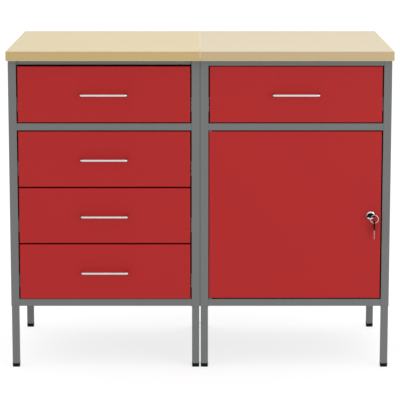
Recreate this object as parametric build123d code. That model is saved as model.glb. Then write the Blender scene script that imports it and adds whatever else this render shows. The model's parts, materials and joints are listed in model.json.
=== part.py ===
from build123d import *
import os

# Two steel bench units side by side, each under its own beech worktop: four stacked
# drawers on the left, one drawer over a locked cupboard on the right.
# Millimetres, +X to the right, +Y to the back, +Z up. The origin is on the floor under
# the middle of the box that holds the whole bench, handles included.

# Driving sizes of the bench
top_width = 500.0
top_depth = 600.0
top_thickness = 25.0
top_seam = 0.4
top_edge_radius = 1.5
bench_height = 840.0
front_overhang = 25.0
side_overhang = 3.0
unit_gap = 2.0
seam_setback = 1.5
seam_depth = 16.0
rear_overhang = 93.0
clear_below = 165.0

# Square tube, sheet and rails
tube = 19.0
tube_wall = 1.5
tube_radius = 2.0
floor_lap = 3.0
sheet = 1.0
bend_radius = 1.5
upper_bay = 164.5
top_rail_heights = (12.5, 15.0)
top_rail_setbacks = (5.0, 0.0)

# Feet
foot_height = 10.0
foot_rim = 0.5
foot_plug = 15.0
foot_fit = 0.2

# Drawers
drawer_gap_side = 3.25
drawer_gap_between = 3.8
drawer_gap_rail = 2.5
drawer_gap_top = 16.5
bottom_gap = 0.9
front_return = 15.0
front_lip = 12.0
stack_count = 4
box_lift = 10.0
box_headroom = 17.5
box_back_gap = 27.0
slide_space = 12.7

# Drawer slides
slide_sheet = 1.2
outer_slide_height = 35.0
outer_slide_width = 10.0
inner_slide_height = 24.0
inner_slide_width = 9.1
slide_height_on_box = 35.0
slide_gap = 2.0
inner_slide_shorter = 10.0

# Uprights inside the side walls
upright_width = 30.0
upright_inset = 45.0
upright_sheet = 1.2

# Bow handles
handle_centres = 120.0
handle_wire = 6.0
handle_projection = 28.0
handle_bend = 5.0
screw_radius = 2.0
screw_fit = 0.05
screw_depth = 8.0
screw_head_radius = 3.8
screw_head_height = 2.4
screw_access = 6.0

# Door, its pivots and its lock
door_hinge_gap = 0.8
door_edge_radius = 4.0
door_gap_below = 3.0
door_gap_above = 2.2
pivot_radius = 2.5
pivot_fit = 0.05
pivot_reach = 12.0
collar_radius = 4.0
collar_clearance = 0.3
lock_from_edge = 27.0
lock_above_door = 221.0
rosette_radius = 11.0
rosette_proud = 3.0
barrel_radius = 9.0
barrel_fit = 0.2
plug_radius = 6.0
plug_fit = 0.1
nut_across = 24.0
nut_thickness = 4.0
tray_hole_radius = 16.0
cam_thickness = 2.5
cam_width = 16.0
cam_reach = 41.0
cam_clearance = 0.8
cam_screw_radius = 2.0
cam_screw_head = 4.5
cam_screw_height = 2.0

# Keys and ring
blade_thickness = 2.0
blade_width = 8.0
blade_fit = 0.15
blade_in_lock = 19.0
blade_in_bow = 3.8
spare_blade_length = 25.0
bow_thickness = 3.0
bow_half_width = 10.6
bow_length = 23.5
bow_corner = 6.0
bow_gap = 0.9
rim_width = 3.0
rim_end = 3.5
eye_length = 11.0
eye_corner = 2.5
bow_rounding = 0.8
ring_wire = 1.8
ring_outside = 22.4
ring_ahead = 16.5
rim_clearance = 0.3

# Shelf, divider and fasteners
shelf_clear = 195.0
shelf_inset = 60.0
shelf_back_gap = 6.0
shelf_lip = 18.0
shelf_side_gap = 1.5
clip_leg = 12.0
clip_thickness = 1.5
clip_width = 20.0
divider_flange = 14.0
wood_screw_radius = 2.2
wood_screw_hole = 2.6
wood_screw_bite = 16.0
wood_screw_head = 4.5
wood_screw_head_height = 2.5
wood_screw_inset = 20.0
bolt_radius = 3.0
bolt_hole = 3.3
bolt_head_across = 10.0
bolt_head_height = 4.0
bolt_inset = 110.0

# Levels and planes that follow from the sizes above
overall_depth = top_depth + max(0.0, handle_projection - front_overhang)
frame_depth = top_depth - front_overhang - rear_overhang
top_front = overall_depth / 2 - top_depth
frame_front = top_front + front_overhang
frame_back = frame_front + frame_depth
post_front = frame_front + sheet
post_back = frame_back - sheet
under_top = bench_height - top_thickness
bottom_rail_top = clear_below + tube
mid_rail_top = under_top - upper_bay
mid_rail_bottom = mid_rail_top - tube
unit_width = top_width - side_overhang - unit_gap / 2
cover_width = tube + 2 * sheet
opening_width = unit_width - 2 * cover_width
front_width = opening_width - 2 * drawer_gap_side
slide_start = front_return + slide_gap
floor_start = sheet + tube - floor_lap
floor_under_front = sheet if slide_start > floor_start else 0.0
stack_bottom = bottom_rail_top + floor_under_front + bottom_gap
stack_top = mid_rail_bottom - drawer_gap_rail
stack_height = (stack_top - stack_bottom - (stack_count - 2) * drawer_gap_between) / (stack_count - 1)
stack_pitch = stack_height + drawer_gap_between
upper_height = upper_bay - drawer_gap_rail - drawer_gap_top
outer_slide_length = frame_depth - slide_start - sheet - tube - slide_gap
box_length = frame_depth - front_return - box_back_gap
inner_slide_length = box_length - inner_slide_shorter
box_width = opening_width - 2 * slide_space
unit_left = {"left": -top_width + side_overhang, "right": unit_gap / 2}
door_height = mid_rail_bottom - door_gap_above - bottom_rail_top - door_gap_below
door_width = opening_width - door_hinge_gap - drawer_gap_side
door_left = unit_left["right"] + cover_width + door_hinge_gap
door_bottom = bottom_rail_top + door_gap_below
hinge_x = door_left + door_edge_radius
hinge_y = frame_front + door_edge_radius
lock_x = door_left + door_width - lock_from_edge
lock_height = door_bottom + lock_above_door
shelf_height = bottom_rail_top + sheet + shelf_clear
cam_front = post_front + tube + cam_clearance
ring_inner = ring_outside / 2 - ring_wire
ring_middle = ring_inner + ring_wire / 2
rim_centre = bow_half_width - rim_width / 2
rim_corner = (rim_width / 2 - bow_rounding) * 2**0.5 + bow_rounding
ring_drop = ring_inner - rim_corner - rim_clearance
ring_y = frame_front - ring_ahead
wire_top = ring_wire / 2 + rim_clearance


def block(x0, x1, y0, y1, z0, z1):
    """A box between two corners."""
    size = Box(x1 - x0, y1 - y0, z1 - z0, align=(Align.MIN, Align.MIN, Align.MIN))
    return Pos(x0, y0, z0) * size


def rod(radius, length, start, direction):
    """A round bar from start, along direction."""
    plane = Plane(origin=start, z_dir=direction)
    return plane * Cylinder(radius, length, align=(Align.CENTER, Align.CENTER, Align.MIN))


def hexagon(across, height, start, direction):
    """A hexagonal prism, measured across its flats."""
    plane = Plane(origin=start, z_dir=direction)
    return plane * extrude(RegularPolygon(across / 2, 6, major_radius=False), height)


def square_tube(width, height, length, start, direction, upright=(0, 0, 1)):
    """A hollow rectangular tube with rounded corners; width lies across upright."""
    x_dir = Vector(*upright).cross(Vector(*direction))
    plane = Plane(origin=start, x_dir=x_dir, z_dir=direction)
    wall = RectangleRounded(width, height, tube_radius)
    hollow = RectangleRounded(width - 2 * tube_wall, height - 2 * tube_wall, tube_radius - tube_wall)
    return plane * extrude(wall - hollow, length)


def write(name, pieces):
    """One STEP file for one named sub-part, holding its separate solids."""
    solids = [solid for piece in pieces for solid in piece.solids()]
    group = Compound(label=name, children=solids)
    export_step(group, os.path.join("parts", name + ".step"))


def post_centres(side):
    """Middle of each of a unit's four posts, seen from above."""
    left = unit_left[side] + sheet + tube / 2
    right = unit_left[side] + unit_width - sheet - tube / 2
    front = post_front + tube / 2
    back = post_back - tube / 2
    return [(left, front), (right, front), (left, back), (right, back)]


def bolt_points():
    """Y and Z of the bolts that join the two units through their side rails."""
    rails = (clear_below + tube / 2, under_top - tube / 2)
    return [(y, z) for y in (frame_front + bolt_inset, frame_back - bolt_inset) for z in rails]


def bolt_holes():
    """One long drill for each bolt that joins the units."""
    half = unit_gap / 2 + cover_width + 1
    return [rod(bolt_hole, 2 * half, (-half, y, z), (1, 0, 0)) for y, z in bolt_points()]


def screw_points(side):
    """X and Y of a unit's worktop screws, in the middle of its upper side rails."""
    inset = sheet + tube / 2
    xs = (unit_left[side] + inset, unit_left[side] + unit_width - inset)
    ys = (upright_span(True)[1] + wood_screw_inset, upright_span(False)[0] - wood_screw_inset)
    return [(x, y) for x in xs for y in ys]


def legs(side):
    """Four square-tube posts from the feet to the worktop."""
    length = under_top - foot_height
    upright = (0, 1, 0)
    starts = [(x, y, foot_height) for x, y in post_centres(side)]
    return [square_tube(tube, tube, length, start, (0, 0, 1), upright) for start in starts]


def feet():
    """Black plastic end caps with a plug up inside each post."""
    pieces = []
    across = tube + 2 * foot_rim
    inside = tube - 2 * tube_wall - 2 * foot_fit
    for x, y in post_centres("left") + post_centres("right"):
        head = block(-across / 2, across / 2, -across / 2, across / 2, 0, foot_height)
        head = fillet(head.edges().filter_by(Axis.Z), tube_radius)
        head = fillet(head.faces().sort_by(Axis.Z)[0].edges(), tube_radius)
        plug = block(-inside / 2, inside / 2, -inside / 2, inside / 2, foot_height, foot_height + foot_plug)
        pieces.append(Pos(x, y, 0) * (head + plug))
    return pieces


def rails(side):
    """Cross rails between the posts, butt-welded: front, back and sides."""
    which = 0 if side == "left" else 1
    x0 = unit_left[side] + sheet + tube
    across = unit_width - 2 * sheet - 2 * tube
    along = frame_depth - 2 * sheet - 2 * tube
    front = post_front + tube / 2
    back = post_back - tube / 2
    setback = top_rail_setbacks[which]
    height = top_rail_heights[which]
    low = clear_below + tube / 2
    high = under_top - tube / 2
    pieces = []
    for y, z in ((front, low), (front, mid_rail_top - tube / 2), (back, low), (back, high)):
        pieces.append(square_tube(tube, tube, across, (x0, y, z), (1, 0, 0)))
    start = (x0, front + setback / 2, under_top - height / 2)
    pieces.append(square_tube(tube - setback, height, across, start, (1, 0, 0)))
    drills = bolt_holes()
    for x in (x0 - tube / 2, x0 + across + tube / 2):
        for z in (low, high):
            rail = square_tube(tube, tube, along, (x, post_front + tube, z), (0, 1, 0))
            pieces.append(rail - drills)
    starts = [(x, y, under_top - tube - 1) for x, y in screw_points(side)]
    drills = [rod(wood_screw_hole, tube + 2, start, (0, 0, 1)) for start in starts]
    return pieces[:-4] + [piece - drills for piece in pieces[-4:]]


def post_covers(side):
    """Folded sheet channels that clip round the outside, face and inside of each post."""
    which = 0 if side == "left" else 1
    height = under_top - clear_below
    x0 = unit_left[side]
    x1 = x0 + unit_width
    z0 = clear_below
    y0 = frame_front
    depth = sheet + tube
    across = (x0 + cover_width / 2, x1 - cover_width / 2)
    front_span = (y0 + sheet, y0 + depth + 1)
    back_span = (frame_back - depth - 1, frame_back - sheet)
    notches = [block(*across, *front_span, z, z + tube) for z in (clear_below, mid_rail_bottom)]
    notches.append(block(*across, *front_span, under_top - top_rail_heights[which], under_top))
    notches += [block(*across, *back_span, z, z + tube) for z in (clear_below, under_top - tube)]
    pieces = []
    for x in (x0, x1 - cover_width):
        for front in (True, False):
            y = y0 if front else frame_back - depth
            outside = block(x, x + cover_width, y, y + depth, z0, z0 + height)
            corners = outside.edges().filter_by(Axis.Z).group_by(Axis.Y)[0 if front else -1]
            outside = fillet(corners, bend_radius)
            y_in = y + sheet if front else y - 1
            inside = block(x + sheet, x + cover_width - sheet, y_in, y_in + depth, z0 - 1, z0 + height + 1)
            inner = inside.edges().filter_by(Axis.Z).group_by(Axis.Y)[0 if front else -1]
            inside = fillet(inner, bend_radius - sheet)
            pieces.append(outside - inside - notches)
    return pieces


def side_panels(side):
    """Flat outer sheets between the post covers; the left unit's hold the seam strip."""
    y0 = frame_front + sheet + tube
    y1 = frame_back - sheet - tube
    pieces = []
    for x in (unit_left[side], unit_left[side] + unit_width - sheet):
        pieces.append(block(x, x + sheet, y0, y1, clear_below, under_top) - bolt_holes())
    if side == "left":
        front = frame_front + seam_setback
        half = unit_gap / 2
        pieces.append(block(-half, half, front, front + seam_depth, clear_below, under_top))
    return pieces


def back_panel(side):
    """Back sheet, over the outside of the back rails, between the post covers."""
    x0 = unit_left[side] + cover_width
    x1 = unit_left[side] + unit_width - cover_width
    return [block(x0, x1, frame_back - sheet, frame_back, clear_below, under_top)]


def base(side):
    """Floor sheet that lies on the lower rails, notched round the posts."""
    x0 = unit_left[side] + sheet
    x1 = unit_left[side] + unit_width - sheet
    y0 = frame_front + floor_start
    plate = block(x0, x1, y0, post_back, bottom_rail_top, bottom_rail_top + sheet)
    through = (bottom_rail_top - 1, bottom_rail_top + sheet + 1)
    corner = tube / 2 + sheet
    for x, y in post_centres(side):
        plate -= block(x - corner, x + corner, y - corner, y + corner, *through)
    for x in upright_corners(side):
        for front in (True, False):
            plate -= block(x, x + tube + sheet, *upright_span(front), *through)
    return [plate]


def upright_corners(side):
    """Lowest X of the uprights on each side of a unit."""
    return (unit_left[side] + sheet, unit_left[side] + unit_width - cover_width)


def upright_span(front):
    """Y range of the front or back uprights."""
    start = frame_front + upright_inset if front else frame_back - upright_inset - upright_width
    return (start, start + upright_width)


def uprights():
    """Channels between the lower and upper side rails, which carry slides and shelf."""
    pieces = []
    z0 = bottom_rail_top
    z1 = under_top - tube
    for side in unit_left:
        for index, x in enumerate(upright_corners(side)):
            for front in (True, False):
                y0, y1 = upright_span(front)
                wide = tube + sheet
                bar = block(x, x + wide, y0, y1, z0, z1)
                cut0 = x - 1 if index == 0 else x + upright_sheet
                cut1 = cut0 + wide - upright_sheet + 1
                pieces.append(bar - block(cut0, cut1, y0 + upright_sheet, y1 - upright_sheet, z0 - 1, z1 + 1))
    return pieces


def worktop(side):
    """Beech board with eased edges, bored for its screws."""
    x0 = -top_width if side == "left" else top_seam / 2
    x1 = -top_seam / 2 if side == "left" else top_width
    board = block(x0, x1, top_front, top_front + top_depth, under_top, bench_height)
    board = fillet(board.faces().sort_by(Axis.Z)[-1].edges(), top_edge_radius)
    for x, y in screw_points(side):
        board -= rod(wood_screw_radius + screw_fit, wood_screw_bite + 1, (x, y, under_top - 1), (0, 0, 1))
    return [board]


def worktop_screws():
    """Screws up through the side rails into the boards."""
    pieces = []
    bottom = under_top - tube
    for x, y in screw_points("left") + screw_points("right"):
        head = rod(wood_screw_head, wood_screw_head_height, (x, y, bottom), (0, 0, -1))
        shank = rod(wood_screw_radius, tube + wood_screw_bite - 1, (x, y, bottom), (0, 0, 1))
        pieces.append(head + shank)
    return pieces


def joining_bolts():
    """Hexagon bolts and nuts through the two units' middle side rails."""
    pieces = []
    half = unit_gap / 2 + sheet + tube
    for y, z in bolt_points():
        head = hexagon(bolt_head_across, bolt_head_height, (-half, y, z), (-1, 0, 0))
        shank = rod(bolt_radius, 2 * half + bolt_head_height + 2, (-half, y, z), (1, 0, 0))
        pieces.append(head + shank)
        nut = hexagon(bolt_head_across, bolt_head_height, (half, y, z), (1, 0, 0))
        pieces.append(nut - rod(bolt_radius + screw_fit, bolt_head_height + 2, (half - 1, y, z), (1, 0, 0)))
    return pieces


def divider():
    """Sheet between the upper drawer and the cupboard, with a bearer down each side."""
    x0 = unit_left["right"] + cover_width
    x1 = x0 + opening_width
    y0 = frame_front + floor_start
    y1 = frame_back - sheet
    plate = block(x0, x1, y0, y1, mid_rail_top, mid_rail_top + sheet)
    corner = tube / 2 + sheet
    for x, y in post_centres("right"):
        plate -= block(x - corner, x + corner, y - corner, y + corner, mid_rail_top - 1, mid_rail_top + 2)
    span = (frame_front + upright_inset, frame_back - upright_inset)
    low = mid_rail_top - divider_flange
    return [plate] + [block(x, x + sheet, *span, low, mid_rail_top) for x in (x0, x1 - sheet)]


def shelf():
    """Cupboard shelf with folded front and back lips."""
    x0 = unit_left["right"] + cover_width + shelf_side_gap
    x1 = x0 + opening_width - 2 * shelf_side_gap
    y0 = frame_front + shelf_inset
    y1 = frame_back - sheet - shelf_back_gap
    z = shelf_height
    tray = block(x0, x1, y0, y1, z - shelf_lip, z)
    return [tray - block(x0 - 1, x1 + 1, y0 + sheet, y1 - sheet, z - shelf_lip - 1, z - sheet)]


def shelf_clips():
    """Angle clips on the uprights, under the four corners of the shelf."""
    pieces = []
    z1 = shelf_height - sheet
    x_low = unit_left["right"] + cover_width
    for x, inward in ((x_low, 1), (x_low + opening_width, -1)):
        for front in (True, False):
            y_low, y_high = upright_span(front)
            y0 = max((y_low + y_high - clip_width) / 2, frame_front + shelf_inset + sheet)
            y1 = y_high - 1
            leg = sorted((x, x + inward * clip_thickness))
            foot = sorted((x, x + inward * clip_leg))
            upright_leg = block(*leg, y0, y1, z1 - clip_leg, z1)
            pieces.append(upright_leg + block(*foot, y0, y1, z1 - clip_thickness, z1))
    return pieces


def drawer_places():
    """Each drawer's name, unit, and its front's lower edge and height."""
    upper = mid_rail_top + drawer_gap_rail
    places = [("drawer_1", "left", upper, upper_height)]
    for number in range(2, stack_count + 1):
        z = stack_bottom + stack_pitch * (stack_count - number)
        places.append((f"drawer_{number}", "left", z, stack_height))
    return places + [(f"drawer_{stack_count + 1}", "right", upper, upper_height)]


def slide_middle(z):
    """Height of a drawer's slides above the floor."""
    return z + box_lift + slide_height_on_box


def cabinet_slides():
    """Outer slide channels, screwed to the uprights."""
    pieces = []
    half = outer_slide_height / 2
    y0 = frame_front + slide_start
    y1 = y0 + outer_slide_length
    for _, side, z, _ in drawer_places():
        middle = slide_middle(z)
        x_low = unit_left[side] + cover_width
        x_high = x_low + opening_width
        for x0, x1, c0, c1 in (
            (x_low, x_low + outer_slide_width, x_low + slide_sheet, x_low + outer_slide_width + 1),
            (x_high - outer_slide_width, x_high, x_high - outer_slide_width - 1, x_high - slide_sheet),
        ):
            bar = block(x0, x1, y0, y1, middle - half, middle + half)
            inner = half - slide_sheet
            pieces.append(bar - block(c0, c1, y0 - 1, y1 + 1, middle - inner, middle + inner))
    return pieces


def drawer_slides(side, z):
    """Inner slide channels, fixed to the sides of one drawer box."""
    pieces = []
    half = inner_slide_height / 2
    y0 = frame_front + slide_start
    y1 = y0 + inner_slide_length
    middle = slide_middle(z)
    box_low = unit_left[side] + cover_width + slide_space
    box_high = box_low + box_width
    for x0, x1, c0, c1 in (
        (box_low - inner_slide_width, box_low, box_low - inner_slide_width - 1, box_low - slide_sheet),
        (box_high, box_high + inner_slide_width, box_high + slide_sheet, box_high + inner_slide_width + 1),
    ):
        bar = block(x0, x1, y0, y1, middle - half, middle + half)
        inner = half - slide_sheet
        pieces.append(bar - block(c0, c1, y0 - 1, y1 + 1, middle - inner, middle + inner))
    return pieces


def front_middle(side, z, height):
    """Middle of a drawer front's face."""
    return (unit_left[side] + unit_width / 2, frame_front, z + height / 2)


def pan(x0, x1, z0, z1, corner_radius):
    """A folded sheet panel: face, four returns and a lip round the back."""
    y0 = frame_front
    y1 = y0 + front_return
    body = block(x0, x1, y0, y1, z0, z1)
    if corner_radius:
        left = body.edges().filter_by(Axis.Z).group_by(Axis.X)[0].sort_by(Axis.Y)[0]
        body = fillet(left, corner_radius)
    edges = body.faces().sort_by(Axis.Y)[0].edges()
    if corner_radius:
        edges = edges.sort_by(Axis.X)[1:]
    body = fillet(edges, bend_radius)
    cavity = block(x0 + sheet, x1 - sheet, y0 + sheet, y1 - sheet, z0 + sheet, z1 - sheet)
    if corner_radius:
        left = cavity.edges().filter_by(Axis.Z).group_by(Axis.X)[0].sort_by(Axis.Y)[0]
        cavity = fillet(left, corner_radius - sheet)
    window = block(x0 + front_lip, x1 - front_lip, y1 - 2 * sheet, y1 + 1, z0 + front_lip, z1 - front_lip)
    return body - cavity - window


def drawer_front(side, z, height):
    """Folded drawer front, drilled for its handle screws."""
    x, y, middle = front_middle(side, z, height)
    panel = pan(x - front_width / 2, x + front_width / 2, z, z + height, 0)
    for offset in (-handle_centres / 2, handle_centres / 2):
        panel -= rod(screw_radius + screw_fit, sheet + 2, (x + offset, y - 1, middle), (0, 1, 0))
    return [panel]


def drawer_box(side, z, height):
    """Open box of five sheets: bottom, two sides, back and inner front."""
    x0 = unit_left[side] + cover_width + slide_space
    x1 = x0 + box_width
    y0 = frame_front + front_return
    y1 = y0 + box_length
    z0 = z + box_lift
    z1 = z + height - box_headroom
    x, y, middle = front_middle(side, z, height)
    inner_front = block(x0 + sheet, x1 - sheet, y0, y0 + sheet, z0 + sheet, z1)
    for offset in (-handle_centres / 2, handle_centres / 2):
        inner_front -= rod(screw_access, sheet + 2, (x + offset, y0 - 1, middle), (0, 1, 0))
    bottom = block(x0, x1, y0, y1, z0, z0 + sheet)
    left = block(x0, x0 + sheet, y0, y1, z0 + sheet, z1)
    right = block(x1 - sheet, x1, y0, y1, z0 + sheet, z1)
    back = block(x0 + sheet, x1 - sheet, y1 - sheet, y1, z0 + sheet, z1)
    return [bottom, left, right, back, inner_front]


def handle(side, z, height):
    """Round-wire bow handle with a blind hole up each leg."""
    x, y, middle = front_middle(side, z, height)
    reach = handle_projection - handle_wire / 2
    half = handle_centres / 2
    path = FilletPolyline((x - half, y, middle), (x - half, y - reach, middle),
                          (x + half, y - reach, middle), (x + half, y, middle), radius=handle_bend)
    section = Plane(origin=(x - half, y, middle), z_dir=(0, -1, 0)) * Circle(handle_wire / 2)
    bow = sweep(section, path=path)
    for offset in (-half, half):
        bow -= rod(screw_radius + screw_fit, screw_depth + 1, (x + offset, y, middle), (0, -1, 0))
    return [bow]


def handle_screws(side, z, height):
    """Two screws from inside the front into the handle's legs."""
    x, y, middle = front_middle(side, z, height)
    pieces = []
    for offset in (-handle_centres / 2, handle_centres / 2):
        start = (x + offset, y + sheet, middle)
        head = rod(screw_head_radius, screw_head_height, start, (0, 1, 0))
        pieces.append(head + rod(screw_radius, sheet + screw_depth - 1, start, (0, -1, 0)))
    return pieces


def door_skin():
    """Folded door with a rounded hinge edge, pivot holes and a lock hole."""
    skin = pan(door_left, door_left + door_width, door_bottom, door_bottom + door_height, door_edge_radius)
    skin -= rod(barrel_radius + barrel_fit, 3 * sheet, (lock_x, frame_front - sheet, lock_height), (0, 1, 0))
    for z in (door_bottom, door_bottom + door_height):
        skin -= rod(pivot_radius + pivot_fit, 4 * sheet, (hinge_x, hinge_y, z - 2 * sheet), (0, 0, 1))
    return [skin]


def door_tray():
    """Inner sheet that closes the back of the door, with a hole round the lock."""
    y0 = frame_front + front_return
    tray = block(door_left + sheet, door_left + door_width - sheet, y0, y0 + sheet,
                 door_bottom + sheet, door_bottom + door_height - sheet)
    return [tray - rod(tray_hole_radius, 3 * sheet, (lock_x, y0 - sheet, lock_height), (0, 1, 0))]


def hinge_pins():
    """Shouldered pivot pins, fixed to the lower rail and the middle rail."""
    pieces = []
    door_top = door_bottom + door_height
    for rail, edge, up in ((bottom_rail_top, door_bottom, 1), (mid_rail_bottom, door_top, -1)):
        collar = abs(edge - rail) - collar_clearance
        start = (hinge_x, hinge_y, rail)
        shoulder = rod(collar_radius, collar, start, (0, 0, up))
        pieces.append(shoulder + rod(pivot_radius, collar + pivot_reach, start, (0, 0, up)))
    return pieces


def lock_housing():
    """Chromed rosette and barrel of the cam lock, with a bore for its plug."""
    front = frame_front - rosette_proud
    back = cam_front - cam_clearance / 2
    rosette = rod(rosette_radius, rosette_proud, (lock_x, front, lock_height), (0, 1, 0))
    rosette = chamfer(rosette.faces().sort_by(Axis.Y)[0].edges(), rosette_proud / 3)
    barrel = rod(barrel_radius, back - frame_front, (lock_x, frame_front, lock_height), (0, 1, 0))
    bore = rod(plug_radius + plug_fit, back - front + 2, (lock_x, front - 1, lock_height), (0, 1, 0))
    return [rosette + barrel - bore]


def lock_nut():
    """Nut on the barrel, behind the door's face."""
    start = (lock_x, frame_front + sheet, lock_height)
    nut = hexagon(nut_across, nut_thickness, start, (0, 1, 0))
    return [nut - rod(barrel_radius + screw_fit, nut_thickness, start, (0, 1, 0))]


def lock_plug():
    """Turning plug with its keyway."""
    front = frame_front - rosette_proud
    plug = rod(plug_radius, cam_front - front, (lock_x, front, lock_height), (0, 1, 0))
    half = blade_width / 2 + blade_fit
    thick = blade_thickness / 2 + blade_fit
    plug -= block(lock_x - half, lock_x + half, front - 1, front + blade_in_lock + blade_fit,
                  lock_height - thick, lock_height + thick)
    return [plug]


def lock_cam():
    """Flat cam behind the plug: up when the door is free, across behind the post when locked."""
    y1 = cam_front + cam_thickness
    half = cam_width / 2
    plate = block(lock_x - half, lock_x + half, cam_front, y1, lock_height, lock_height + cam_reach)
    plate = fillet(plate.edges().filter_by(Axis.Y).group_by(Axis.Z)[-1], half / 2)
    plate += rod(half, cam_thickness, (lock_x, cam_front, lock_height), (0, 1, 0))
    start = (lock_x, cam_front - 1, lock_height)
    return [plate - rod(cam_screw_radius + screw_fit, cam_thickness + 2, start, (0, 1, 0))]


def cam_screw():
    """Screw that holds the cam on the plug."""
    head = rod(cam_screw_head, cam_screw_height, (lock_x, cam_front + cam_thickness, lock_height), (0, 1, 0))
    return [head + rod(cam_screw_radius, cam_thickness, (lock_x, cam_front, lock_height), (0, 1, 0))]


def key_shapes(blade_length):
    """A key about its shoulder: bow towards -Y and blade towards +Y, flat across Z."""
    half = bow_half_width
    bow = block(-half, half, -bow_length, 0, -bow_thickness / 2, bow_thickness / 2)
    bow = fillet(bow.edges().filter_by(Axis.Z), bow_corner)
    eye_half = half - rim_width
    far = -bow_length + rim_end
    eye = block(-eye_half, eye_half, far, far + eye_length, -bow_thickness, bow_thickness)
    bow -= fillet(eye.edges().filter_by(Axis.Z), eye_corner)
    bow = fillet(bow.edges().filter_by(GeomType.LINE).filter_by(Axis.Z, reverse=True), bow_rounding)
    width = blade_width / 2
    thick = blade_thickness / 2
    bow -= block(-width, width, -blade_in_bow, 1, -thick, thick)
    blade = block(-width, width, -blade_in_bow, blade_length, -thick, thick)
    tip = blade.edges().filter_by(Axis.Z).group_by(Axis.Y)[-1]
    return bow, chamfer(tip, width / 2)


def key_ring():
    """Round wire ring through the key's eye and round its rim."""
    plane = Plane(origin=(lock_x + rim_centre, ring_y, lock_height - ring_drop), z_dir=(0, 1, 0))
    return [plane * Torus(ring_middle, ring_wire / 2)]


def lock_key():
    """The key in the lock, its bow level."""
    shoulder = frame_front - rosette_proud - bow_gap
    bow, blade = key_shapes(blade_in_lock + bow_gap)
    place = Pos(lock_x, shoulder, lock_height)
    return place * bow, place * blade


def spare_key():
    """The spare key, hanging by its eye from the bottom of the ring."""
    bow, blade = key_shapes(spare_blade_length)
    wire_z = lock_height - ring_drop - ring_middle
    shoulder = wire_z + wire_top + rim_end - bow_length
    place = Pos(lock_x + rim_centre, ring_y, shoulder) * Rot(0, 0, 90) * Rot(-90, 0, 0)
    return place * bow, place * blade


def build():
    """Write every sub-part of the bench."""
    os.makedirs("parts", exist_ok=True)
    for side in unit_left:
        write(f"{side}_legs", legs(side))
        write(f"{side}_rails", rails(side))
        write(f"{side}_post_covers", post_covers(side))
        write(f"{side}_side_panels", side_panels(side))
        write(f"{side}_back_panel", back_panel(side))
        write(f"{side}_base", base(side))
        write(f"{side}_worktop", worktop(side))
    write("feet", feet())
    write("uprights", uprights())
    write("cabinet_slides", cabinet_slides())
    write("divider", divider())
    write("shelf", shelf())
    write("shelf_clips", shelf_clips())
    write("hinge_pins", hinge_pins())
    write("worktop_screws", worktop_screws())
    write("joining_bolts", joining_bolts())
    for name, side, z, height in drawer_places():
        write(f"{name}_front", drawer_front(side, z, height))
        write(f"{name}_box", drawer_box(side, z, height))
        write(f"{name}_slides", drawer_slides(side, z))
        write(f"{name}_handle", handle(side, z, height))
        write(f"{name}_screws", handle_screws(side, z, height))
    write("door_skin", door_skin())
    write("door_tray", door_tray())
    write("lock_housing", lock_housing())
    write("lock_nut", lock_nut())
    write("lock_plug", lock_plug())
    write("lock_cam", lock_cam())
    write("cam_screw", cam_screw())
    bow, blade = lock_key()
    write("key_bow", [bow])
    write("key_blade", [blade])
    write("key_ring", key_ring())
    bow, blade = spare_key()
    write("spare_key_bow", [bow])
    write("spare_key_blade", [blade])


build()
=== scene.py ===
import json
from math import pi, radians

import bmesh
import bpy
from mathutils import Matrix, Vector

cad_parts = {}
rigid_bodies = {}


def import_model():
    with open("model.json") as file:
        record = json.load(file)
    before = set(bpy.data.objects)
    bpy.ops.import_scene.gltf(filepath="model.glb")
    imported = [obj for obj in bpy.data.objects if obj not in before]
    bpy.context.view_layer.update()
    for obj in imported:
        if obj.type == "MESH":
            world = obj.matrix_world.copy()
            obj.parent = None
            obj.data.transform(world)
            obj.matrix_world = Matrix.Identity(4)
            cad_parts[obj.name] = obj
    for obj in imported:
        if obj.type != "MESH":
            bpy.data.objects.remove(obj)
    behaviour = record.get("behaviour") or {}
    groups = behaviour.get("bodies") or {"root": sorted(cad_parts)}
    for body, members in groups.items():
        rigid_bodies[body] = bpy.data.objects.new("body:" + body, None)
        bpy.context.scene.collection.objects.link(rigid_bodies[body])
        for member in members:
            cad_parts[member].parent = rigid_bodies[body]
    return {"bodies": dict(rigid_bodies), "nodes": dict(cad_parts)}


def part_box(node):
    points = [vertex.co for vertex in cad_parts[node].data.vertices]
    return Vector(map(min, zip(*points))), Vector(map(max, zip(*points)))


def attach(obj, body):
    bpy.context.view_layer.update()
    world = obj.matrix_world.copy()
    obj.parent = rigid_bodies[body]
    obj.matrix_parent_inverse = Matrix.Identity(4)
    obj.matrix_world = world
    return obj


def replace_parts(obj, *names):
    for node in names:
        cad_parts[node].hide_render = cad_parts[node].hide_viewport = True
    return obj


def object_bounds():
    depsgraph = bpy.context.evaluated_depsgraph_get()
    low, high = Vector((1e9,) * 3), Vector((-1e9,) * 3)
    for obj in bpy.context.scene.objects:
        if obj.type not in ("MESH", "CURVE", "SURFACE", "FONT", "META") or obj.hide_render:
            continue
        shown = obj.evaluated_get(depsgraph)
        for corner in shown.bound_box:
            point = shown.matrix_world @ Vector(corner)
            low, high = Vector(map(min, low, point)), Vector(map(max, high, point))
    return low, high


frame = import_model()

cad_low, cad_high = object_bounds()
middle = (cad_low + cad_high) / 2
scene = bpy.context.scene

# A long lens a little above the worktop, square to the drawers, tipped down until the
# worktop and the feet both fit. A white studio lights the bench from all round.
camera_distance = 5.533
camera_height = 1.350
tipped_down = 9.724
scene.view_settings.view_transform = "Standard"
camera = bpy.data.objects.new("camera", bpy.data.cameras.new("camera"))
scene.collection.objects.link(camera)
scene.camera = camera
camera.data.sensor_width = 36.0
camera.data.lens = 183.9
camera.location = (0.0, -camera_distance, camera_height)
camera.rotation_euler = (radians(90.0 - tipped_down), 0.0, 0.0)
camera.data.clip_end = 200.0

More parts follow.
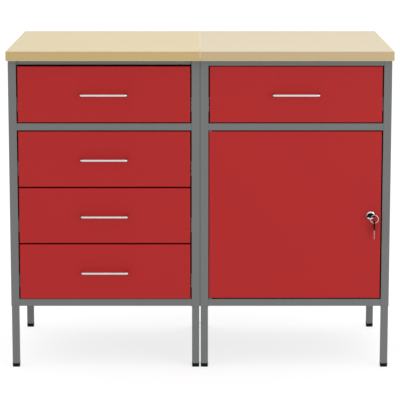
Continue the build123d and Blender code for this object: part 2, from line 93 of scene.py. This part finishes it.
world = bpy.data.worlds.new("studio")
world.use_nodes = True
world.node_tree.nodes["Background"].inputs["Color"].default_value = (1.0, 1.0, 1.0, 1.0)
world.node_tree.nodes["Background"].inputs["Strength"].default_value = 1.0
scene.world = world


def softbox(name, place, size, power):
    """A square lamp that faces the bench."""
    lamp = bpy.data.lights.new(name, "AREA")
    lamp.shape = "SQUARE"
    lamp.size = size
    lamp.energy = power
    stand = bpy.data.objects.new(name, lamp)
    stand.location = place
    stand.rotation_euler = (middle - Vector(place)).to_track_quat("-Z", "Y").to_euler()
    scene.collection.objects.link(stand)


softbox("key_light", (2.8, -4.3, 1.3), 1.6, 47.0)
softbox("top_light", (0.2, 0.3, 3.4), 2.6, 10.0)


# The floor is a plain pale sheet, lit evenly from below so that shadows on it are faint;
# it reaches far beyond the bench on every side.
class Value:
    """One socket of a finish, so that shader maths reads as a plain expression."""

    def __init__(self, finish, socket):
        self.finish = finish
        self.socket = socket

    def maths(self, operation, first, second):
        settings = {"operation": operation}
        return self.finish.node("ShaderNodeMath", settings, {0: first, 1: second})

    def __add__(self, other):
        return self.maths("ADD", self, other)

    def __mul__(self, other):
        return self.maths("MULTIPLY", self, other)

    __radd__ = __add__
    __rmul__ = __mul__


class Finish:
    """One material with its nodes; what is the same all over is set as it is made."""

    def __init__(self, name, **fixed):
        self.material = bpy.data.materials.new(name)
        self.material.use_nodes = True
        self.tree = self.material.node_tree
        self.shader = self.tree.nodes["Principled BSDF"]
        for socket, value in fixed.items():
            self.shader.inputs[socket.replace("_", " ")].default_value = value
        self.place = self.node("ShaderNodeTexCoord", output="Object")

    def node(self, kind, settings=None, sockets=None, output=0):
        """One node, its settings made first, then its sockets set or linked."""
        made = self.tree.nodes.new(kind)
        for name, value in (settings or {}).items():
            if name == "stops":
                ramp = made.color_ramp.elements
                for stop, (where, colour) in zip([ramp[0], ramp[-1]], value):
                    stop.position = where
                    stop.color = (*colour, 1.0)
            else:
                setattr(made, name, value)
        for name, value in (sockets or {}).items():
            self.connect(made.inputs[name], value)
        return Value(self, made.outputs[output])

    def connect(self, socket, value):
        if isinstance(value, Value):
            self.tree.links.new(value.socket, socket)
        else:
            socket.default_value = value

    def noise(self, scale, detail=2.0, stretch=(1.0, 1.0, 1.0)):
        """Noise in the piece's own metres, drawn out along the axes with a small stretch."""
        spread = self.node("ShaderNodeMapping", None, {"Vector": self.place, "Scale": stretch})
        sockets = {"Vector": spread, "Scale": scale, "Detail": detail}
        return self.node("ShaderNodeTexNoise", None, sockets)

    def blend(self, share, first, second):
        """A colour between two colours."""
        sockets = {0: share, 6: (*first, 1.0), 7: (*second, 1.0)}
        return self.node("ShaderNodeMix", {"data_type": "RGBA"}, sockets, 2)

    def relief(self, height, depth, strength=1.0):
        """Feed a height to the shader's normal; depth is in metres."""
        sockets = {"Height": height, "Distance": depth, "Strength": strength}
        self.connect(self.shader.inputs["Normal"], self.node("ShaderNodeBump", None, sockets))

    def feed(self, socket, value):
        self.connect(self.shader.inputs[socket], value)


pale = Finish("pale_floor", Roughness=0.9, Specular_IOR_Level=0.1, Emission_Strength=0.72)
pale.shader.inputs["Emission Color"].default_value = (1.0, 1.0, 1.0, 1.0)
pale.feed("Base Color", pale.blend(pale.noise(0.6), (0.34, 0.34, 0.34), (0.36, 0.36, 0.36)))
floor_half = 60.0
bm = bmesh.new()
bmesh.ops.create_grid(bm, x_segments=1, y_segments=1, size=floor_half)
floor_mesh = bpy.data.meshes.new("floor")
bm.to_mesh(floor_mesh)
bm.free()
floor_mesh.materials.append(pale.material)
floor = bpy.data.objects.new("floor", floor_mesh)
scene.collection.objects.link(floor)


# Two welded frames of square steel tube, with their rails, powder coated dark grey.
# The coat has a fine orange peel and slightly uneven gloss.
def powder_coat(name, colour, gloss):
    """Baked polyester powder over steel."""
    coat = Finish(name, IOR=1.5, Specular_IOR_Level=0.2)
    cloud = coat.noise(5.0, 3.0)
    light = [channel * 1.03 for channel in colour]
    dark = [channel * 0.97 for channel in colour]
    coat.feed("Base Color", coat.blend(cloud, dark, light))
    coat.feed("Roughness", coat.noise(14.0) * 0.12 + (gloss - 0.06))
    peel = coat.noise(620.0, 1.0) + coat.noise(2400.0, 0.0) * 0.35
    coat.relief(peel, 0.00006, 0.6)
    return coat.material


def dress(material, *nodes):
    """Give CAD nodes their finish."""
    for name in nodes:
        node = frame["nodes"][name]
        if not node.material_slots:
            node.data.materials.append(material)
        for place in node.material_slots:
            place.material = material


sides = ("left", "right")
grey_coat = powder_coat("grey_powder_coat", (0.136, 0.142, 0.140), 0.46)
for side in sides:
    dress(grey_coat, f"{side}_legs", f"{side}_rails", f"{side}_post_covers", f"{side}_side_panels")
    dress(grey_coat, f"{side}_back_panel", f"{side}_base")


# Fillet welds under the lower rails, where each rail meets its post: short runs of
# overlapping ripples, painted over with the frame.
def piece(name, bm, body, slot, *materials):
    """A finished mesh as an object that rides on its body."""
    mesh = bpy.data.meshes.new(name)
    bm.to_mesh(mesh)
    bm.free()
    mesh.shade_smooth()
    mesh.set_sharp_from_angle(angle=radians(35.0))
    made = bpy.data.objects.new(name, mesh)
    scene.collection.objects.link(made)
    for material in materials:
        mesh.materials.append(material)
    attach(made, body)
    return made


tube = 0.019
weld_radius = 0.0019
weld_step = 0.0021
weld_start = 0.0022
weld_ripples = 8
bm = bmesh.new()
for side in sides:
    legs_low, legs_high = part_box(f"{side}_legs")
    weld_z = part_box(f"{side}_rails")[0].z
    for sign_x, face_x in ((1, legs_low.x), (-1, legs_high.x)):
        for sign_y, face_y in ((1, legs_low.y), (-1, legs_high.y)):
            for ripple in range(weld_ripples):
                along = weld_start + ripple * weld_step
                spots = (
                    (face_x + sign_x * tube, face_y + sign_y * along, weld_z),
                    (face_x + sign_x * along, face_y + sign_y * tube, weld_z),
                )
                for spot in spots:
                    bmesh.ops.create_icosphere(bm, subdivisions=1, radius=weld_radius,
                                               matrix=Matrix.Translation(spot))
piece("frame_welds", bm, "root", "grey_paint", grey_coat)


# Blind rivets with domed heads hold the back sheets to the back rails and the side
# sheets to the side rails; they are painted with the sheets.
rivet_radius = 0.0030
rivet_dome = 0.0011
rivets_across = 5
bm = bmesh.new()


def rivet(bm, spot, axis):
    """One domed head, flattened along an axis."""
    flat = Matrix.Scale(rivet_dome / rivet_radius, 4, axis)
    bmesh.ops.create_icosphere(bm, subdivisions=2, radius=rivet_radius,
                               matrix=Matrix.Translation(spot) @ flat)


for side in sides:
    rails_low, rails_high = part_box(f"{side}_rails")
    back_low, back_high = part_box(f"{side}_back_panel")
    wall_low, wall_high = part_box(f"{side}_side_panels")
    levels = (rails_low.z + tube / 2, rails_high.z - tube / 2)
    for z in levels:
        for place in range(rivets_across):
            share = (place + 0.5) / rivets_across
            x = back_low.x + share * (back_high.x - back_low.x)
            y = wall_low.y + share * (wall_high.y - wall_low.y)
            rivet(bm, (x, back_high.y, z), Vector((0, 1, 0)))
            outside = wall_low.x if side == "left" else wall_high.x
            rivet(bm, (outside, y, z), Vector((1, 0, 0)))
piece("rivets", bm, "root", "grey_paint", grey_coat)


# Black moulded caps that plug the posts: a thin flange under the tube, then a foot that
# draws in a little to a rounded sole.
def moulded(name, colour, gloss, grain):
    """Injection-moulded plastic with a fine spark-eroded grain."""
    plastic = Finish(name, IOR=1.46, Specular_IOR_Level=0.1)
    lighter = [channel * 1.5 + 0.002 for channel in colour]
    plastic.feed("Base Color", plastic.blend(plastic.noise(60.0), colour, lighter))
    plastic.feed("Roughness", plastic.noise(300.0) * 0.15 + (gloss - 0.07))
    plastic.relief(plastic.noise(grain, 2.0), 0.00005, 0.5)
    return plastic.material


def cuboid(bm, low, high):
    """A box between two corners."""
    low, high = Vector(low), Vector(high)
    place = Matrix.Translation((low + high) / 2) @ Matrix.Diagonal((*(high - low), 1.0))
    bmesh.ops.create_cube(bm, size=1.0, matrix=place)


def round_edges(bm, edges, radius, segments):
    """Round some edges of a mesh."""
    bmesh.ops.bevel(bm, geom=list(edges), offset=radius, offset_type="OFFSET", segments=segments,
                    profile=0.5, affect="EDGES", clamp_overlap=True, material=-1)


def gather(meshes):
    """Several small meshes as one."""
    whole = bmesh.new()
    for one in meshes:
        mesh = bpy.data.meshes.new("part")
        one.to_mesh(mesh)
        one.free()
        whole.from_mesh(mesh)
        bpy.data.meshes.remove(mesh)
    return whole


black_plastic = moulded("black_plastic", (0.003, 0.003, 0.0035), 0.55, 1800.0)
foot_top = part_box("left_legs")[0].z
foot_flange = 0.0022
foot_taper = 0.0006
foot_rim = 0.0005
foot_corner = 0.0020
sole_round = 0.0018
flange_edge = 0.0003
near = 0.0001
caps = []
for side in sides:
    legs_low, legs_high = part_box(f"{side}_legs")
    for x in (legs_low.x + tube / 2, legs_high.x - tube / 2):
        for y in (legs_low.y + tube / 2, legs_high.y - tube / 2):
            one = bmesh.new()
            half = tube / 2 + foot_rim
            sole = half - foot_taper
            under = foot_top - foot_flange
            cuboid(one, (x - half, y - half, under), (x + half, y + half, foot_top))
            cuboid(one, (x - sole, y - sole, 0.0), (x + sole, y + sole, under))
            tall = [e for e in one.edges if abs(e.verts[0].co.z - e.verts[1].co.z) > 0.001]
            round_edges(one, tall, foot_corner, 3)
            bottom = [e for e in one.edges if max(v.co.z for v in e.verts) < near]
            round_edges(one, bottom, sole_round, 3)
            flange = [e for e in one.edges if all(under - v.co.z < near for v in e.verts)]
            round_edges(one, flange, flange_edge, 1)
            caps.append(one)
feet = piece("foot_caps", gather(caps), "root", "black_plastic", black_plastic)
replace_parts(feet, "feet")


# Perforated uprights inside the side walls: steel channel with a column of slots, for
# the slides and the shelf clips to hook into.
def sheet_metal(made, thickness, folds=0.0):
    """Give a folded sheet its thickness, inwards from its outer side."""
    if folds:
        fold = made.modifiers.new("folds", "BEVEL")
        fold.width = folds
        fold.segments = 2
        fold.limit_method = "ANGLE"
        fold.angle_limit = radians(40.0)
    wall = made.modifiers.new("thickness", "SOLIDIFY")
    wall.thickness = thickness
    wall.offset = -1.0


def parts_of(geometry, kind):
    """The vertices, edges or faces in an operator's result."""
    return [item for item in geometry if isinstance(item, kind)]


def each_once(items):
    """The items in their own order, each of them once."""
    return list(dict.fromkeys(items))


upright_width = 0.030
upright_inset = 0.045
upright_depth = 0.020
slot_pitch = 0.0255
slot_margin = 0.0085
cover_sheet = 0.001
low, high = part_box("uprights")
slots = round((high.z - low.z) / slot_pitch)
covers = {side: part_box(f"{side}_post_covers") for side in sides}
bm = bmesh.new()
for side in sides:
    cover_low, cover_high = covers[side]
    left_face = cover_low.x + cover_sheet + upright_depth
    right_face = cover_high.x - cover_sheet - upright_depth
    for face_x, outward in ((left_face, -1), (right_face, 1)):
        for y0 in (cover_low.y + upright_inset, cover_high.y - upright_inset - upright_width):
            y1 = y0 + upright_width
            outline = ((y0, low.z), (y1, low.z), (y1, high.z), (y0, high.z))
            corners = [bm.verts.new((face_x, y, z)) for y, z in outline]
            web = bm.faces.new(corners if outward < 0 else corners[::-1])
            tall = [e for e in web.edges if abs(e.verts[0].co.z - e.verts[1].co.z) > 0.1]
            cut = bmesh.ops.subdivide_edges(bm, edges=tall, cuts=slots - 1, use_grid_fill=True)
            rungs = parts_of(cut["geom_inner"], bmesh.types.BMEdge)
            cells = each_once(f for e in rungs for f in e.link_faces)
            borders = each_once(e for f in cells for e in f.edges if len(e.link_faces) == 1)
            folded = [e for e in borders if abs(e.verts[0].co.z - e.verts[1].co.z) > 0.001]
            holes = sorted(cells, key=lambda f: f.calc_center_median().z)
            bmesh.ops.inset_individual(bm, faces=holes, thickness=slot_margin, use_even_offset=True)
            bmesh.ops.delete(bm, geom=holes, context="FACES")
            walls = bmesh.ops.extrude_edge_only(bm, edges=folded)["geom"]
            bmesh.ops.translate(bm, vec=(outward * upright_depth * 0.95, 0, 0),
                                verts=parts_of(walls, bmesh.types.BMVert))
bmesh.ops.recalc_face_normals(bm, faces=bm.faces)
uprights = piece("perforated_uprights", bm, "root", "grey_paint", grey_coat)
sheet_metal(uprights, 0.0012)
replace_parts(uprights, "uprights")
dress(grey_coat, "divider", "shelf", "hinge_pins")


# The bought-in fittings: slides, shelf clips, bolts, and the lock's nut and cam. They are
# pressed or turned from steel and have a thin bright zinc plating.
def plated(name, colour, gloss, drawn=(1.0, 1.0, 1.0)):
    """A thin bright metal plating with faint drawing marks."""
    metal = Finish(name, Metallic=1.0)
    metal.feed("Base Color", metal.blend(metal.noise(35.0, 3.0), [c * 0.9 for c in colour], colour))
    marks = metal.noise(900.0, 3.0, drawn)
    metal.feed("Roughness", marks * 0.16 + (gloss - 0.08))
    metal.relief(marks, 0.00002, 0.4)
    return metal.material


zinc = plated("zinc_plate", (0.42, 0.43, 0.46), 0.40, (1.0, 0.03, 1.0))
dress(zinc, "cabinet_slides", "shelf_clips", "joining_bolts", "lock_nut", "lock_cam")


# Beech worktops: boards with a lightly lacquered face and glued-on edge strips, grain
# along the bench. The upright front and side edges get a darker copy of the face's wood,
# which is painted shade for the lesser light on them. The right-hand board is cut from a
# slightly pinker tree.
def beech(name, pale_tone, deep_tone, gloss, grain):
    """Straight-grained beech; grain holds the stretch of the fibre pattern."""
    wood = Finish(name, IOR=1.45, Specular_IOR_Level=0.06)
    band = wood.noise(9.0, 3.0, [1.0 if g == 1.0 else g * 0.35 for g in grain])
    fibre = wood.noise(420.0, 4.0, grain)
    fleck = wood.noise(900.0, 1.0, [g if g == 1.0 else g * 3.0 for g in grain])
    stops = [(0.62, (0, 0, 0)), (0.72, (1, 1, 1))]
    dark_fleck = wood.node("ShaderNodeValToRGB", {"stops": stops}, {"Fac": fleck})
    tone = wood.blend(band * 0.45 + fibre * 0.55, deep_tone, pale_tone)
    shade = wood.node("ShaderNodeMix", {"data_type": "RGBA", "blend_type": "MULTIPLY"},
                      {0: dark_fleck * 0.22, 6: tone, 7: (0.80, 0.70, 0.56, 1.0)}, 2)
    wood.feed("Base Color", shade)
    wood.feed("Roughness", fibre * 0.14 + (gloss - 0.07))
    wood.relief(fibre * 0.6 + fleck * 0.4, 0.00004, 0.5)
    return wood.material


along_bench = (0.03, 1.0, 1.0)
across_bench = (1.0, 0.03, 1.0)
# Per board: the face tones, then the darker edge tones, which are painted shade.
tones = {
    "left": (((0.741, 0.645, 0.445), (0.679, 0.572, 0.371)),
             ((0.486, 0.368, 0.183), (0.434, 0.314, 0.142))),
    "right": (((0.727, 0.643, 0.488), (0.667, 0.571, 0.413)),
              ((0.480, 0.373, 0.222), (0.429, 0.326, 0.179))),
}
board_edge = 0.0014
for side in sides:
    low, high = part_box(f"{side}_worktop")
    bm = bmesh.new()
    cuboid(bm, low, high)
    loose = [e for e in bm.edges if max(abs(v.co.x) for v in e.verts) > 0.001]
    round_edges(bm, loose, board_edge, 3)
    bm.normal_update()
    # Upright faces take the darker edge copies of the wood: painted shade, not a different wood.
    for face in bm.faces:
        if abs(face.normal.z) < 0.6:
            face.material_index = 1 if abs(face.normal.y) > abs(face.normal.x) else 2
    face_tones, shaded_edge_tones = tones[side]
    board = piece(f"{side}_beech_board", bm, "root", f"beech_{side}",
                  beech(f"{side}_beech_face", *face_tones, 0.66, along_bench),
                  beech(f"{side}_beech_front_painted_shade", *shaded_edge_tones, 0.58, along_bench),
                  beech(f"{side}_beech_side_painted_shade", *shaded_edge_tones, 0.58, across_bench))
    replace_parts(board, f"{side}_worktop")


# Drawer boxes of folded sheet behind the fronts, with a turned-in hem round the top so
# that no raw edge is left, on their inner slides.
def draw_out(bm, loop, vector, centre=(0, 0, 0), scale=(1, 1, 1)):
    """Carry a loop of edges on, leaving a wall behind; returns the new loop."""
    grown = bmesh.ops.extrude_edge_only(bm, edges=loop)["geom"]
    fresh = parts_of(grown, bmesh.types.BMVert)
    bmesh.ops.scale(bm, vec=scale, verts=fresh, space=Matrix.Translation(-Vector(centre)))
    bmesh.ops.translate(bm, vec=vector, verts=fresh)
    return [e for e in parts_of(grown, bmesh.types.BMEdge) if set(e.verts) <= set(fresh)]


drawers = [name for name in frame["bodies"] if name.startswith("drawer_")]
hem_width = 0.006
hem_drop = 0.004
hem_rise = 0.0003
sheet = 0.001
for name in drawers:
    low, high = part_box(f"{name}_box")
    bm = bmesh.new()
    size = high - low
    centre = (low + high) / 2
    half_x, half_y = size.x / 2 - hem_rise, size.y / 2 - hem_rise
    top = high.z + hem_rise
    corners = [(centre.x + x * half_x, centre.y + y * half_y, top)
               for x, y in ((-1, -1), (1, -1), (1, 1), (-1, 1))]
    verts = [bm.verts.new(corner) for corner in corners]
    rim = [bm.edges.new(pair) for pair in zip(verts, verts[1:] + verts[:1])]
    shrink = (1 - 2 * hem_width / size.x, 1 - 2 * hem_width / size.y, 1.0)
    rim = draw_out(bm, rim, (0, 0, 0), centre, shrink)
    draw_out(bm, rim, (0, 0, -hem_drop))
    bmesh.ops.recalc_face_normals(bm, faces=bm.faces)
    if max(bm.faces, key=lambda f: f.calc_center_median().z).normal.z < 0:
        bmesh.ops.reverse_faces(bm, faces=bm.faces)
    hem = piece(f"{name}_hem", bm, name, "grey_paint", grey_coat)
    sheet_metal(hem, sheet * 0.8, 0.0010)
    dress(grey_coat, f"{name}_box")
    dress(zinc, f"{name}_slides")


# The drawer fronts and the door: shallow pans folded from steel sheet, with a lip round
# the back, powder coated signal red. The door's inner sheet is grey.
red_coat = powder_coat("red_powder_coat", (0.350, 0.010, 0.010), 0.40)
for name in drawers:
    dress(red_coat, f"{name}_front")
dress(red_coat, "door_skin")
dress(grey_coat, "door_tray")


# Bow handles bent from round stainless wire, brushed along their length; each is screwed
# on from inside its front.
def bend(bm, loop, centre, axis, angle, steps):
    """Carry a loop of edges round an arc; returns the new loop."""
    corners = each_once(v for e in loop for v in e.verts)
    turned = bmesh.ops.spin(bm, geom=corners + loop, cent=centre, axis=axis, angle=angle,
                            steps=steps, use_duplicate=False)
    return parts_of(turned["geom_last"], bmesh.types.BMEdge)


stainless = plated("brushed_stainless", (0.66, 0.70, 0.70), 0.18, (0.02, 1.0, 1.0))
handle_bend = 0.005
for name in drawers:
    low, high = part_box(f"{name}_handle")
    wire = (high.z - low.z) / 2
    level = (low.z + high.z) / 2
    left_leg, right_leg, bar_y = low.x + wire, high.x - wire, low.y + wire
    corner_y = bar_y + handle_bend
    bm = bmesh.new()
    start = Matrix.Translation((left_leg, high.y, level)) @ Matrix.Rotation(pi / 2, 4, "X")
    bmesh.ops.create_circle(bm, cap_ends=False, segments=20, radius=wire, matrix=start)
    loop = list(bm.edges)
    loop = draw_out(bm, loop, (0, corner_y - high.y, 0))
    loop = bend(bm, loop, (left_leg + handle_bend, corner_y, level), (0, 0, 1), pi / 2, 8)
    loop = draw_out(bm, loop, (right_leg - left_leg - 2 * handle_bend, 0, 0))
    loop = bend(bm, loop, (right_leg - handle_bend, corner_y, level), (0, 0, 1), pi / 2, 8)
    loop = draw_out(bm, loop, (0, high.y - corner_y, 0))
    bmesh.ops.holes_fill(bm, edges=bm.edges, sides=0)
    bmesh.ops.remove_doubles(bm, verts=bm.verts, dist=0.000001)
    bmesh.ops.recalc_face_normals(bm, faces=bm.faces)
    handle = piece(f"{name}_bow_handle", bm, name, "satin_steel", stainless)
    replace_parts(handle, f"{name}_handle")


# Pan-head screws with a cross recess, zinc plated: two up the legs of each handle, four
# up into each worktop, and one that holds the cam on the lock's plug.
def cross_screw(place, head, rise, shank, length):
    """A screw about its seat: the domed head rises along +Z, the shank goes down."""
    one = bmesh.new()
    profile = ((shank * 0.6, -length), (shank, -length * 0.9), (shank, 0), (head, 0),
               (head, rise * 0.45), (head * 0.93, rise * 0.78), (head * 0.72, rise))
    ring = [one.verts.new((radius, 0, z)) for radius, z in profile]
    outline = [one.edges.new(pair) for pair in zip(ring, ring[1:])]
    bmesh.ops.spin(one, geom=ring + outline, cent=(0, 0, 0), axis=(0, 0, 1), angle=2 * pi,
                   steps=24, use_merge=True, use_duplicate=False)
    bmesh.ops.remove_doubles(one, verts=one.verts, dist=0.000001)
    rim = [e for e in one.edges if len(e.link_faces) == 1]
    tip = [e for e in rim if e.verts[0].co.z < 0]
    bmesh.ops.holes_fill(one, edges=tip, sides=0)
    arm, half = head * 0.52, head * 0.12
    quarter = Vector((half, arm, rise)), Vector((half, half, rise)), Vector((arm, half, rise))
    cross = [one.verts.new(Matrix.Rotation(-turn * pi / 2, 3, "Z") @ point)
             for turn in range(4) for point in quarter]
    recess = [one.edges.new(pair) for pair in zip(cross, cross[1:] + cross[:1])]
    bmesh.ops.bridge_loops(one, edges=[e for e in rim if e not in tip] + recess)
    floor_loop = draw_out(one, recess, (0, 0, -rise * 0.55), scale=(0.8, 0.8, 1.0))
    bmesh.ops.holes_fill(one, edges=floor_loop, sides=0)
    bmesh.ops.recalc_face_normals(one, faces=one.faces)
    bmesh.ops.transform(one, matrix=place, verts=one.verts)
    return one


facing_back = Matrix.Rotation(-pi / 2, 4, "X")
facing_down = Matrix.Rotation(pi, 4, "X")
screw_head, screw_rise, screw_shank = 0.0038, 0.0024, 0.0020
for name in drawers:
    low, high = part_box(f"{name}_screws")
    seat = high.y - screw_rise
    level = (low.z + high.z) / 2
    spots = [Vector((x, seat, level)) for x in (low.x + screw_head, high.x - screw_head)]
    screws = gather([cross_screw(Matrix.Translation(spot) @ facing_back, screw_head, screw_rise,
                                 screw_shank, seat - low.y) for spot in spots])
    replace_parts(piece(f"{name}_handle_screws", screws, name, "zinc_steel", zinc), f"{name}_screws")

screw_head, screw_rise, screw_shank = 0.0045, 0.0025, 0.0022
low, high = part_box("worktop_screws")
seat = low.z + screw_rise
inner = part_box("right_legs")[0].x + tube / 2
spots = [Vector((x, y, seat)) for x in (low.x + screw_head, -inner, inner, high.x - screw_head)
         for y in (low.y + screw_head, high.y - screw_head)]
screws = gather([cross_screw(Matrix.Translation(spot) @ facing_down, screw_head, screw_rise,
                             screw_shank, high.z - seat) for spot in spots])
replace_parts(piece("board_screws", screws, "root", "zinc_steel", zinc), "worktop_screws")

screw_head, screw_rise, screw_shank = 0.0045, 0.0020, 0.0020
low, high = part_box("cam_screw")
seat = high.y - screw_rise
place = Matrix.Translation(((low.x + high.x) / 2, seat, (low.z + high.z) / 2)) @ facing_back
screw = cross_screw(place, screw_head, screw_rise, screw_shank, seat - low.y)
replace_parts(piece("cam_screw_head", screw, "lock", "zinc_steel", zinc), "cam_screw")


# The cam lock: a chromed rosette with a raised lip and a barrel turned in one piece,
# round a plug with a keyway. The plug, cam and screw turn in it.
chrome = plated("bright_chrome", (0.78, 0.79, 0.80), 0.16)
low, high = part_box("lock_housing")
plug_low, plug_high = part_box("lock_plug")
lock_x = (low.x + high.x) / 2
lock_z = (low.z + high.z) / 2
outer = (high.x - low.x) / 2
bore = (plug_high.x - plug_low.x) / 2 + 0.0001
face_y = low.y
door_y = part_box("door_skin")[0].y
barrel = 0.009
turned_profile = (
    (bore, face_y + 0.0006), (bore + 0.0005, face_y), (outer * 0.78, face_y),
    (outer * 0.80, face_y + 0.0004), (outer * 0.84, face_y + 0.0004),
    (outer * 0.87, face_y + 0.0001), (outer * 0.94, face_y + 0.0003),
    (outer, face_y + 0.0013), (outer, door_y),
    (barrel, door_y), (barrel, high.y), (bore, high.y),
)
bm = bmesh.new()
ring = [bm.verts.new((lock_x + radius, y, lock_z)) for radius, y in turned_profile]
outline = [bm.edges.new(pair) for pair in zip(ring, ring[1:] + ring[:1])]
bmesh.ops.spin(bm, geom=ring + outline, cent=(lock_x, face_y, lock_z), axis=(0, 1, 0),
               angle=2 * pi, steps=48, use_merge=True, use_duplicate=False)
bmesh.ops.remove_doubles(bm, verts=bm.verts, dist=0.000001)
bmesh.ops.recalc_face_normals(bm, faces=bm.faces)
rosette = piece("lock_rosette", bm, "door", "bright_chrome", chrome)
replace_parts(rosette, "lock_housing")
dress(plated("black_plate", (0.012, 0.012, 0.014), 0.36), "lock_plug")


# Two flat keys: a black moulded bow with a wide eye, over a nickel blade with a milled
# groove down each side and cuts along one edge. One is in the lock, one is spare.
rim_width = 0.003
rim_end = 0.0035
eye_length = 0.011
bow_corner = 0.006
worn_nickel = plated("worn_nickel", (0.33, 0.29, 0.26), 0.34, (1.0, 0.1, 1.0))


def key_bow(name, body, replaced, place, half, length, thickness):
    """The moulded bow about the key's shoulder, laid flat, then put in its place."""
    bm = bmesh.new()
    cuboid(bm, (-half, -length, -thickness / 2), (half, 0, thickness / 2))
    corners = [e for e in bm.edges if abs(e.verts[0].co.z - e.verts[1].co.z) > thickness / 2]
    round_edges(bm, corners, bow_corner, 6)
    flats = [f for f in bm.faces if abs(f.normal.z) > 0.9]
    bmesh.ops.inset_individual(bm, faces=flats, thickness=rim_width, use_even_offset=True)
    eye_middle = -length + rim_end + eye_length / 2
    for flat in flats:
        across = max(v.co.x for v in flat.verts) - min(v.co.x for v in flat.verts)
        lowest = min(v.co.y for v in flat.verts)
        highest = max(v.co.y for v in flat.verts)
        centre = Vector((0, (lowest + highest) / 2, 0))
        wide = 2 * (half - rim_width) / across
        tall = eye_length / (highest - lowest)
        fit = Matrix.Diagonal((wide, tall, 1.0, 1.0))
        bmesh.ops.transform(bm, matrix=fit, verts=flat.verts, space=Matrix.Translation(-centre))
        bmesh.ops.translate(bm, vec=(0, eye_middle - centre.y, 0), verts=flat.verts)
    bmesh.ops.delete(bm, geom=flats, context="FACES_ONLY")
    loops = [e for e in bm.edges if len(e.link_faces) == 1]
    bmesh.ops.bridge_loops(bm, edges=loops)
    bmesh.ops.recalc_face_normals(bm, faces=bm.faces)
    bmesh.ops.transform(bm, matrix=place, verts=bm.verts)
    bow = piece(name, bm, body, "black_plastic", black_plastic)
    soft = bow.modifiers.new("soft_edges", "BEVEL")
    soft.width = 0.0006
    soft.segments = 2
    soft.limit_method = "ANGLE"
    soft.angle_limit = radians(50.0)
    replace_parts(bow, replaced)


def key_blade(name, body, replaced, place, width, thickness, into_bow, length):
    """The blade about the key's shoulder, with its cuts and grooves."""
    bm = bmesh.new()
    half = width / 2
    cuboid(bm, (-half, -into_bow, -thickness / 2), (half, length, thickness / 2))
    first_cut, last_cut = 0.005, length - 0.002
    depths = (0.0004, 0.0017, 0.0008, 0.0022, 0.0011, 0.0019, 0.0006, 0.0014, 0.0008)
    pitch = (last_cut - first_cut) / (len(depths) - 1)
    for step in range(len(depths)):
        bmesh.ops.bisect_plane(bm, geom=bm.verts[:] + bm.edges[:] + bm.faces[:],
                               plane_co=(0, first_cut + step * pitch, 0), plane_no=(0, 1, 0))
    for step, depth in enumerate(depths):
        level = first_cut + step * pitch
        edge = [v for v in bm.verts if abs(v.co.y - level) < near and v.co.x > half - near]
        bmesh.ops.translate(bm, vec=(-depth, 0, 0), verts=edge)
    tip = [v for v in bm.verts if v.co.y > length - near]
    bmesh.ops.transform(bm, matrix=Matrix.Diagonal((0.5, 1.0, 0.7, 1.0)), verts=tip)
    groove_sides = (-0.0012, 0.0008)
    for x in groove_sides:
        bmesh.ops.bisect_plane(bm, geom=bm.verts[:] + bm.edges[:] + bm.faces[:],
                               plane_co=(x, 0, 0), plane_no=(1, 0, 0))
    bm.normal_update()
    flats = [f for f in bm.faces if abs(f.normal.z) > 0.9]
    groove = [f for f in flats if groove_sides[0] < f.calc_center_median().x < groove_sides[1]]
    bmesh.ops.inset_region(bm, faces=groove, thickness=0.0003, depth=-0.0004, use_even_offset=True)
    bmesh.ops.transform(bm, matrix=place, verts=bm.verts)
    blade = piece(name, bm, body, "nickel_steel", worn_nickel)
    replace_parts(blade, replaced)


low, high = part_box("key_bow")
bow_half = (high.x - low.x) / 2
bow_length = high.y - low.y
bow_thickness = high.z - low.z
key_place = Matrix.Translation((lock_x, high.y, lock_z))
key_bow("lock_key_bow", "lock", "key_bow", key_place, bow_half, bow_length, bow_thickness)
blade_low, blade_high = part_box("key_blade")
blade_width = blade_high.x - blade_low.x
blade_thickness = blade_high.z - blade_low.z
into_bow = high.y - blade_low.y
key_blade("lock_key_blade", "lock", "key_blade", key_place, blade_width, blade_thickness,
          into_bow, blade_high.y - high.y)
low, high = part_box("spare_key_bow")
spare_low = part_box("spare_key_blade")[0]
hanging = Matrix.Rotation(pi / 2, 4, "Z") @ Matrix.Rotation(-pi / 2, 4, "X")
spare_place = Matrix.Translation(((low.x + high.x) / 2, (low.y + high.y) / 2, low.z)) @ hanging
key_bow("spare_bow", "spare_key", "spare_key_bow", spare_place, bow_half, bow_length, bow_thickness)
key_blade("spare_blade", "spare_key", "spare_key_blade", spare_place, blade_width, blade_thickness,
          into_bow, low.z - spare_low.z)


# The split ring: flat spring wire wound twice round, nickel plated. The spare key hangs
# on it and it hangs on the key in the lock.
nickel = plated("nickel_plate", (0.50, 0.47, 0.43), 0.30, (1.0, 0.1, 1.0))
low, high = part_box("key_ring")
ring_centre = (low + high) / 2
wire_radial = 0.00085
wire_axial = (high.y - low.y) / 6
ring_radius = (high.x - low.x) / 2 - wire_radial
turns = 2
step_count = 96
bm = bmesh.new()
section = Matrix.Translation(ring_centre + Vector((ring_radius, -2 * wire_axial, 0)))
section = section @ Matrix.Diagonal((wire_radial, wire_axial, 1.0, 1.0))
bmesh.ops.create_circle(bm, cap_ends=False, segments=12, radius=1.0, matrix=section)
bmesh.ops.spin(bm, geom=bm.verts[:] + bm.edges[:], cent=ring_centre, axis=(0, 1, 0),
               angle=turns * 2 * pi, steps=step_count, use_duplicate=False,
               dvec=(0, 4 * wire_axial / step_count, 0))
bmesh.ops.holes_fill(bm, edges=bm.edges, sides=0)
bmesh.ops.recalc_face_normals(bm, faces=bm.faces)
split_ring = piece("split_ring", bm, "key_ring", "nickel_steel", nickel)
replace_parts(split_ring, "key_ring")
